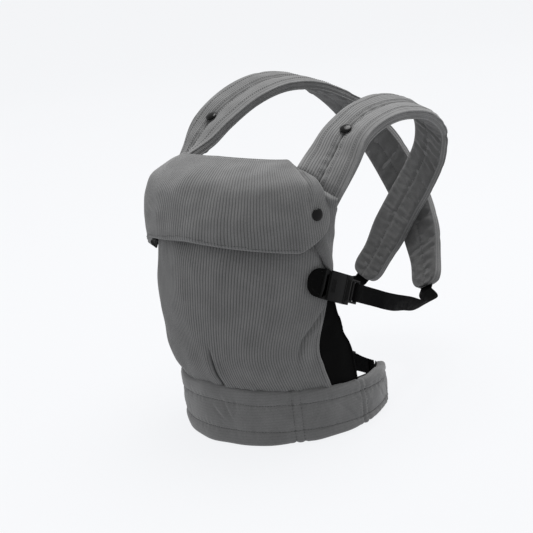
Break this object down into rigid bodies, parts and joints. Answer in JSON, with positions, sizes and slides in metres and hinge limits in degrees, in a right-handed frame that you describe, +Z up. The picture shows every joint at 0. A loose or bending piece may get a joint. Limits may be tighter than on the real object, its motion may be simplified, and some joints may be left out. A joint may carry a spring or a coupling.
{
  "type": "soft baby carrier",
  "caption": "Soft structured baby carrier in worn shape: padded waistband, front panel with a folded head support, crossed shoulder straps and side-release buckles.",
  "frame": {"origin": "middle of the whole object's footprint, on the surface that the waistband's rim stands on", "axes": "+Z up, -Y towards the front panel (the way the wearer faces), +X the wearer's left side"},
  "size_m": [0.3035, 0.4656, 0.4171],
  "materials": {
    "corduroy": "matt ribbed cotton corduroy",
    "lining": "matt plain cotton",
    "black_cloth": "matt black woven cloth",
    "foam": "open-cell foam",
    "webbing": "woven black webbing",
    "plastic": "moulded black plastic, fine texture",
    "snap": "black coated press stud"
  },
  "bodies": {
    "carrier": {"panel_cover": "corduroy", "panel_foam": "foam", "panel_lining": "lining", "side_gusset_left": "black_cloth", "side_gusset_right": "black_cloth", "side_left_buckle_socket": "plastic", "side_left_webbing": "webbing", "side_right_buckle_socket": "plastic", "side_right_webbing": "webbing", "side_tab_left": "black_cloth", "side_tab_right": "black_cloth", "strap_cover_left": "corduroy", "strap_cover_right": "corduroy", "strap_foam_left": "foam", "strap_foam_right": "foam", "strap_lining_left": "lining", "strap_lining_right": "lining", "strap_snap_left": "snap", "strap_snap_right": "snap", "waist_buckle_socket": "plastic", "waist_webbing": "webbing", "waist_webbing_fixed": "webbing", "waistband_end_left_cover": "corduroy", "waistband_end_left_foam": "foam", "waistband_end_right_cover": "corduroy", "waistband_end_right_foam": "foam", "waistband_front_cover": "corduroy", "waistband_front_foam": "foam", "waistband_lining": "black_cloth", "waistband_side_left_cover": "corduroy", "waistband_side_left_foam": "foam", "waistband_side_right_cover": "corduroy", "waistband_side_right_foam": "foam"},
    "head_support": {"head_snap_left": "snap", "head_snap_right": "snap", "head_support_cover": "corduroy", "head_support_foam": "foam", "head_support_lining": "lining"},
    "side_left_plug": {"side_left_buckle_plug": "plastic", "side_left_webbing_loop": "webbing"},
    "side_left_prong_a": {"side_left_buckle_prong_a": "plastic"},
    "side_left_prong_b": {"side_left_buckle_prong_b": "plastic"},
    "side_right_plug": {"side_right_buckle_plug": "plastic", "side_right_webbing_loop": "webbing"},
    "side_right_prong_a": {"side_right_buckle_prong_a": "plastic"},
    "side_right_prong_b": {"side_right_buckle_prong_b": "plastic"},
    "waist_plug": {"waist_buckle_plug": "plastic", "waist_webbing_loop": "webbing"},
    "waist_prong_a": {"waist_buckle_prong_a": "plastic"},
    "waist_prong_b": {"waist_buckle_prong_b": "plastic"}
  },
  "joints": [
    {"name": "head_support_fold", "type": "hinge", "parent": "carrier", "child": "head_support", "pos_m": [0, -0.1315, 0.352], "axis": [-1, 0, 0], "range_deg": [0, 120]},
    {"name": "side_left_plug_slide", "type": "slide", "parent": "carrier", "child": "side_left_plug", "axis": [0, 0.89, -0.456], "range_m": [0, 0.022]},
    {"name": "side_left_prong_a_press", "type": "hinge", "parent": "side_left_plug", "child": "side_left_prong_a", "pos_m": [0.1364, -0.09703, 0.19562], "axis": [1, 0, 0], "range_deg": [0, 8], "stiffness_Nm_per_rad": 0.05},
    {"name": "side_left_prong_b_press", "type": "hinge", "parent": "side_left_plug", "child": "side_left_prong_b", "pos_m": [0.1364, -0.10706, 0.17604], "axis": [-1, 0, 0], "range_deg": [0, 8], "stiffness_Nm_per_rad": 0.05},
    {"name": "side_right_plug_slide", "type": "slide", "parent": "carrier", "child": "side_right_plug", "axis": [0, 0.89, -0.456], "range_m": [0, 0.022]},
    {"name": "side_right_prong_a_press", "type": "hinge", "parent": "side_right_plug", "child": "side_right_prong_a", "pos_m": [-0.1364, -0.10706, 0.17604], "axis": [-1, 0, 0], "range_deg": [0, 8], "stiffness_Nm_per_rad": 0.05},
    {"name": "side_right_prong_b_press", "type": "hinge", "parent": "side_right_plug", "child": "side_right_prong_b", "pos_m": [-0.1364, -0.09703, 0.19562], "axis": [1, 0, 0], "range_deg": [0, 8], "stiffness_Nm_per_rad": 0.05},
    {"name": "waist_plug_slide", "type": "slide", "parent": "carrier", "child": "waist_plug", "axis": [0.9877, -0.1564, 0], "range_m": [0, 0.012]},
    {"name": "waist_prong_a_press", "type": "hinge", "parent": "waist_plug", "child": "waist_prong_a", "pos_m": [-0.01449, 0.04558, 0.009], "axis": [0.1564, 0.9877, 0], "range_deg": [0, 8], "stiffness_Nm_per_rad": 0.05},
    {"name": "waist_prong_b_press", "type": "hinge", "parent": "waist_plug", "child": "waist_prong_b", "pos_m": [-0.01449, 0.04558, 0.031], "axis": [-0.1564, -0.9877, 0], "range_deg": [0, 8], "stiffness_Nm_per_rad": 0.05}
  ],
  "couplings": [
    {"joint": "side_left_prong_b_press", "follows": "side_left_prong_a_press", "ratio": 1},
    {"joint": "side_right_prong_b_press", "follows": "side_right_prong_a_press", "ratio": 1},
    {"joint": "waist_prong_b_press", "follows": "waist_prong_a_press", "ratio": 1}
  ]
}
